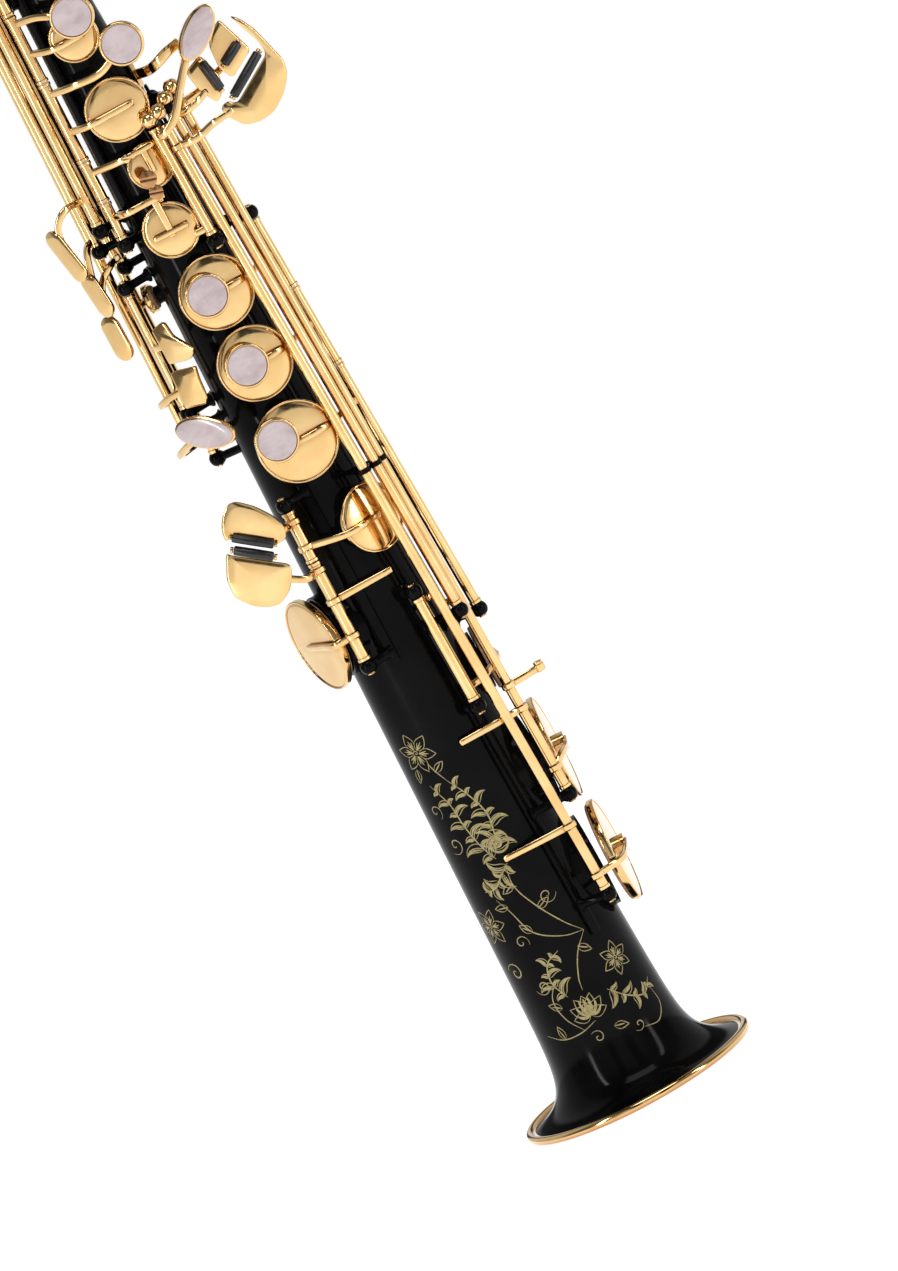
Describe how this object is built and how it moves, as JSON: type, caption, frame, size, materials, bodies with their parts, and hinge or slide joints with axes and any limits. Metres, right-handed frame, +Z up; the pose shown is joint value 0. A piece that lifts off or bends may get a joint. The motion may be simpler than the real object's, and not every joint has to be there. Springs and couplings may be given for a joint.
{
  "type": "soprano saxophone",
  "caption": "Straight soprano saxophone: black lacquered conical body and bell, gold keywork on posts, neck, mouthpiece.",
  "frame": {"origin": "centre of the bell mouth, on the surface that the instrument stands on", "axes": "+Z up the bore towards the mouthpiece, -Y to the front with the finger pearls, +X to the side of the left-hand table and palm keys"},
  "size_m": [0.1084, 0.0908, 0.712],
  "materials": {
    "gold_lacquer": "gold lacquer, polished",
    "black_lacquer": "gloss black lacquer",
    "pad_leather": "tan kid leather",
    "black_roller": "satin black",
    "cork": "matte cork",
    "hard_rubber": "polished hard rubber",
    "cane": "matte cane"
  },
  "bodies": {
    "root": {"bell": "black_lacquer", "bell_rim": "gold_lacquer", "body_tube": "black_lacquer", "front_f_rib": "black_lacquer", "front_rib": "black_lacquer", "left_rib": "black_lacquer", "neck": "gold_lacquer", "neck_cork": "cork", "neck_receiver": "gold_lacquer", "palm_rib": "black_lacquer", "pinky_rib": "black_lacquer", "right_rib": "black_lacquer", "side_rib": "black_lacquer", "strap_ring": "gold_lacquer", "table_guard": "gold_lacquer", "thumb_hook": "gold_lacquer", "thumb_rest": "hard_rubber", "upper_rib": "black_lacquer"},
    "a_key": {"a_key": "gold_lacquer"},
    "b_key": {"b_key": "gold_lacquer"},
    "bis_key": {"bis_key": "gold_lacquer"},
    "d_key": {"d_key": "gold_lacquer"},
    "e_flat_key": {"e_flat_key": "gold_lacquer"},
    "e_key": {"e_key": "gold_lacquer"},
    "f_key": {"f_key": "gold_lacquer"},
    "f_sharp_key": {"f_sharp_key": "gold_lacquer"},
    "f_sharp_trill_key": {"f_sharp_trill_key": "gold_lacquer"},
    "front_f_key": {"front_f_key": "gold_lacquer"},
    "g_key": {"g_key": "gold_lacquer"},
    "g_sharp_key": {"g_sharp_key": "gold_lacquer"},
    "g_sharp_lever": {"g_sharp_lever": "gold_lacquer"},
    "high_e_key": {"high_e_key": "gold_lacquer"},
    "high_f_sharp_key": {"high_f_sharp_key": "gold_lacquer"},
    "high_g_key": {"high_g_key": "gold_lacquer"},
    "low_b_flat_key": {"low_b_flat_key": "gold_lacquer", "low_b_flat_pad": "pad_leather"},
    "low_b_flat_roller": {"low_b_flat_roller": "black_roller"},
    "low_b_key": {"low_b_key": "gold_lacquer", "low_b_pad": "pad_leather"},
    "low_c_key": {"low_c_key": "gold_lacquer", "low_c_pad": "pad_leather"},
    "low_c_roller": {"low_c_roller": "black_roller"},
    "low_c_sharp_key": {"low_c_sharp_key": "gold_lacquer", "low_c_sharp_pad": "pad_leather"},
    "low_c_sharp_lever": {"low_c_sharp_lever": "gold_lacquer"},
    "lower_octave_key": {"lower_octave_key": "gold_lacquer"},
    "octave_lever": {"octave_lever": "gold_lacquer"},
    "palm_d_key": {"palm_d_key": "gold_lacquer"},
    "palm_e_flat_key": {"palm_e_flat_key": "gold_lacquer"},
    "palm_f_key": {"palm_f_key": "gold_lacquer"},
    "side_b_flat_key": {"side_b_flat_key": "gold_lacquer"},
    "side_c_key": {"side_c_key": "gold_lacquer"},
    "upper_octave_key": {"upper_octave_key": "gold_lacquer"},
    "mouthpiece": {"mouthpiece": "hard_rubber", "ligature": "gold_lacquer", "reed": "cane"},
    "ligature_screw_lower": {"ligature_screw_lower": "gold_lacquer"},
    "ligature_screw_upper": {"ligature_screw_upper": "gold_lacquer"},
    "neck_screw": {"neck_screw": "gold_lacquer"}
  },
  "joints": [
    {"name": "a_key_hinge", "type": "hinge", "parent": "root", "child": "a_key", "pos_m": [-0.0167, -0.01402, 0.445], "axis": [0.0224, 0.0188, 0.9996], "range_deg": [0, 8.38], "stiffness_Nm_per_rad": 0.02, "springref_deg": -22.92},
    {"name": "b_key_hinge", "type": "hinge", "parent": "root", "child": "b_key", "pos_m": [-0.01588, -0.01332, 0.482], "axis": [0.0224, 0.0188, 0.9996], "range_deg": [0, 8.69], "stiffness_Nm_per_rad": 0.02, "springref_deg": -22.92},
    {"name": "bis_key_hinge", "type": "hinge", "parent": "root", "child": "bis_key", "pos_m": [-0.0163, -0.01368, 0.463], "axis": [0.0224, 0.0188, 0.9996], "range_deg": [0, 8.1], "stiffness_Nm_per_rad": 0.02, "springref_deg": -22.92},
    {"name": "d_key_hinge", "type": "hinge", "parent": "root", "child": "d_key", "pos_m": [0.02832, -0.00654, 0.2718], "axis": [-0.0284, 0.0066, 0.9996], "range_deg": [-6.07, 0], "stiffness_Nm_per_rad": 0.02, "springref_deg": 22.92},
    {"name": "e_flat_key_hinge", "type": "hinge", "parent": "root", "child": "e_flat_key", "pos_m": [-0.01347, -0.02431, 0.24], "axis": [0.0141, 0.0255, 0.9996], "range_deg": [-4.5, 0], "stiffness_Nm_per_rad": 0.02, "springref_deg": 22.92},
    {"name": "e_key_hinge", "type": "hinge", "parent": "root", "child": "e_key", "pos_m": [0.0274, -0.00633, 0.304], "axis": [-0.0284, 0.0066, 0.9996], "range_deg": [-6.28, 0], "stiffness_Nm_per_rad": 0.02, "springref_deg": 22.92},
    {"name": "f_key_hinge", "type": "hinge", "parent": "root", "child": "f_key", "pos_m": [0.02657, -0.00613, 0.3333], "axis": [-0.0284, 0.0066, 0.9996], "range_deg": [-6.47, 0], "stiffness_Nm_per_rad": 0.02, "springref_deg": 22.92},
    {"name": "f_sharp_key_hinge", "type": "hinge", "parent": "root", "child": "f_sharp_key", "pos_m": [-0.01834, -0.01539, 0.372], "axis": [0.0224, 0.0188, 0.9996], "range_deg": [0, 6.47]},
    {"name": "f_sharp_trill_key_hinge", "type": "hinge", "parent": "root", "child": "f_sharp_trill_key", "pos_m": [-0.02698, -0.00476, 0.322], "axis": [0.0287, 0.0051, 0.9996], "range_deg": [0, 8.9], "stiffness_Nm_per_rad": 0.02, "springref_deg": -22.92},
    {"name": "front_f_key_hinge", "type": "hinge", "parent": "root", "child": "front_f_key", "pos_m": [0.00509, -0.02043, 0.505], "axis": [-0.0071, 0.0283, 0.9996], "range_deg": [-6, 0], "stiffness_Nm_per_rad": 0.02, "springref_deg": 22.92},
    {"name": "g_key_hinge", "type": "hinge", "parent": "root", "child": "g_key", "pos_m": [-0.01749, -0.01467, 0.41], "axis": [0.0224, 0.0188, 0.9996], "range_deg": [0, 8.27], "stiffness_Nm_per_rad": 0.02, "springref_deg": -22.92},
    {"name": "g_sharp_key_hinge", "type": "hinge", "parent": "root", "child": "g_sharp_key", "pos_m": [-0.01798, -0.01509, 0.388], "axis": [0.0224, 0.0188, 0.9996], "range_deg": [-6.32, 0]},
    {"name": "g_sharp_lever_hinge", "type": "hinge", "parent": "root", "child": "g_sharp_lever", "pos_m": [0.01031, -0.0276, 0.375], "axis": [-0.0118, 0, 0.9999], "range_deg": [0, 7], "stiffness_Nm_per_rad": 0.02, "springref_deg": -22.92},
    {"name": "high_e_key_hinge", "type": "hinge", "parent": "root", "child": "high_e_key", "pos_m": [-0.02401, -0.01358, 0.384], "axis": [0.0254, 0.0144, 0.9996], "range_deg": [-9.06, 0], "stiffness_Nm_per_rad": 0.02, "springref_deg": 22.92},
    {"name": "high_f_sharp_key_hinge", "type": "hinge", "parent": "root", "child": "high_f_sharp_key", "pos_m": [-0.03139, 0.0061, 0.302], "axis": [0.0287, -0.0056, 0.9996], "range_deg": [0, 6.56], "stiffness_Nm_per_rad": 0.02, "springref_deg": -22.92},
    {"name": "high_g_key_hinge", "type": "hinge", "parent": "root", "child": "high_g_key", "pos_m": [-0.02617, 0.01765, 0.282], "axis": [0.0242, -0.0163, 0.9996], "range_deg": [0, 7.35], "stiffness_Nm_per_rad": 0.02, "springref_deg": -22.92},
    {"name": "low_b_flat_key_hinge", "type": "hinge", "parent": "root", "child": "low_b_flat_key", "pos_m": [0.02203, -0.0275, 0.1], "axis": [-0.0257, 0, 0.9997], "range_deg": [0, 8.11], "stiffness_Nm_per_rad": 0.02, "springref_deg": -22.92},
    {"name": "low_b_flat_roller_hinge", "type": "hinge", "parent": "low_b_flat_key", "child": "low_b_flat_roller", "pos_m": [0.0484, -0.02128, 0.3973], "axis": [0.8427, 0.2022, 0.499], "continuous": true},
    {"name": "low_b_key_hinge", "type": "hinge", "parent": "root", "child": "low_b_key", "pos_m": [0.02727, -0.02, 0.13], "axis": [-0.0163, 0, 0.9999], "range_deg": [0, 9.76], "stiffness_Nm_per_rad": 0.02, "springref_deg": -22.92},
    {"name": "low_c_key_hinge", "type": "hinge", "parent": "root", "child": "low_c_key", "pos_m": [-0.0139, -0.02507, 0.21], "axis": [0.0141, 0.0255, 0.9996], "range_deg": [-7.15, 0], "stiffness_Nm_per_rad": 0.02, "springref_deg": 22.92},
    {"name": "low_c_roller_hinge", "type": "hinge", "parent": "low_c_key", "child": "low_c_roller", "pos_m": [-0.0311, -0.03118, 0.2442], "axis": [-0.7931, 0.1586, 0.588], "continuous": true},
    {"name": "low_c_sharp_key_hinge", "type": "hinge", "parent": "root", "child": "low_c_sharp_key", "pos_m": [0.0136, -0.0264, 0.16], "axis": [-0.015, 0.03, 0.9994], "range_deg": [-4.73, 0]},
    {"name": "low_c_sharp_lever_hinge", "type": "hinge", "parent": "root", "child": "low_c_sharp_lever", "pos_m": [0.02391, -0.0245, 0.21], "axis": [-0.027, 0, 0.9996], "range_deg": [0, 7], "stiffness_Nm_per_rad": 0.02, "springref_deg": -22.92},
    {"name": "lower_octave_key_hinge", "type": "hinge", "parent": "root", "child": "lower_octave_key", "pos_m": [0.00751, 0.0161, 0.515], "axis": [-0.0123, -0.0265, 0.9996], "range_deg": [-12.32, 0], "stiffness_Nm_per_rad": 0.02, "springref_deg": 22.92},
    {"name": "octave_lever_hinge", "type": "hinge", "parent": "root", "child": "octave_lever", "pos_m": [0.00794, 0.01702, 0.48], "axis": [-0.0123, -0.0265, 0.9996], "range_deg": [0, 7], "stiffness_Nm_per_rad": 0.02, "springref_deg": -22.92},
    {"name": "palm_d_key_hinge", "type": "hinge", "parent": "root", "child": "palm_d_key", "pos_m": [0.02067, -0.00181, 0.464], "axis": [-0.0291, 0.0025, 0.9996], "range_deg": [0, 11.26], "stiffness_Nm_per_rad": 0.02, "springref_deg": -22.92},
    {"name": "palm_e_flat_key_hinge", "type": "hinge", "parent": "root", "child": "palm_e_flat_key", "pos_m": [0.01922, 0.00551, 0.49], "axis": [-0.0281, -0.008, 0.9996], "range_deg": [0, 11.87], "stiffness_Nm_per_rad": 0.02, "springref_deg": -22.92},
    {"name": "palm_f_key_hinge", "type": "hinge", "parent": "root", "child": "palm_f_key", "pos_m": [0.01677, -0.00747, 0.546], "axis": [-0.0267, 0.0119, 0.9996], "range_deg": [0, 13.65], "stiffness_Nm_per_rad": 0.02, "springref_deg": -22.92},
    {"name": "side_b_flat_key_hinge", "type": "hinge", "parent": "root", "child": "side_b_flat_key", "pos_m": [-0.02261, 0.00914, 0.3565], "axis": [0.0271, -0.0109, 0.9996], "range_deg": [-10.03, 0], "stiffness_Nm_per_rad": 0.02, "springref_deg": 22.92},
    {"name": "side_c_key_hinge", "type": "hinge", "parent": "root", "child": "side_c_key", "pos_m": [-0.02795, -0.00245, 0.368], "axis": [0.0291, 0.0025, 0.9996], "range_deg": [-8.92, 0], "stiffness_Nm_per_rad": 0.02, "springref_deg": 22.92},
    {"name": "upper_octave_key_hinge", "type": "hinge", "parent": "root", "child": "upper_octave_key", "pos_m": [0.01163, 0.01163, 0.56], "axis": [-0.0206, -0.0206, 0.9996], "range_deg": [-13.36, 0]},
    {"name": "mouthpiece_tuning_slide", "type": "slide", "parent": "root", "child": "mouthpiece", "axis": [0, 0, 1], "range_m": [0, 0.008]},
    {"name": "ligature_screw_lower_turn", "type": "hinge", "parent": "mouthpiece", "child": "ligature_screw_lower", "pos_m": [0.0063, -0.0136, 0.658], "axis": [1, 0, 0], "continuous": true},
    {"name": "ligature_screw_upper_turn", "type": "hinge", "parent": "mouthpiece", "child": "ligature_screw_upper", "pos_m": [0.0063, -0.0136, 0.667], "axis": [1, 0, 0], "continuous": true},
    {"name": "neck_screw_turn", "type": "hinge", "parent": "root", "child": "neck_screw", "pos_m": [0, 0.01397, 0.6003], "axis": [1, 0, 0], "continuous": true}
  ],
  "couplings": [
    {"joint": "low_c_sharp_key_hinge", "follows": "low_c_sharp_lever_hinge", "ratio": -0.6747},
    {"joint": "g_sharp_key_hinge", "follows": "g_sharp_lever_hinge", "ratio": -0.9012},
    {"joint": "f_sharp_key_hinge", "follows": "f_key_hinge", "ratio": -0.9981},
    {"joint": "upper_octave_key_hinge", "follows": "octave_lever_hinge", "ratio": -1.9051}
  ]
}
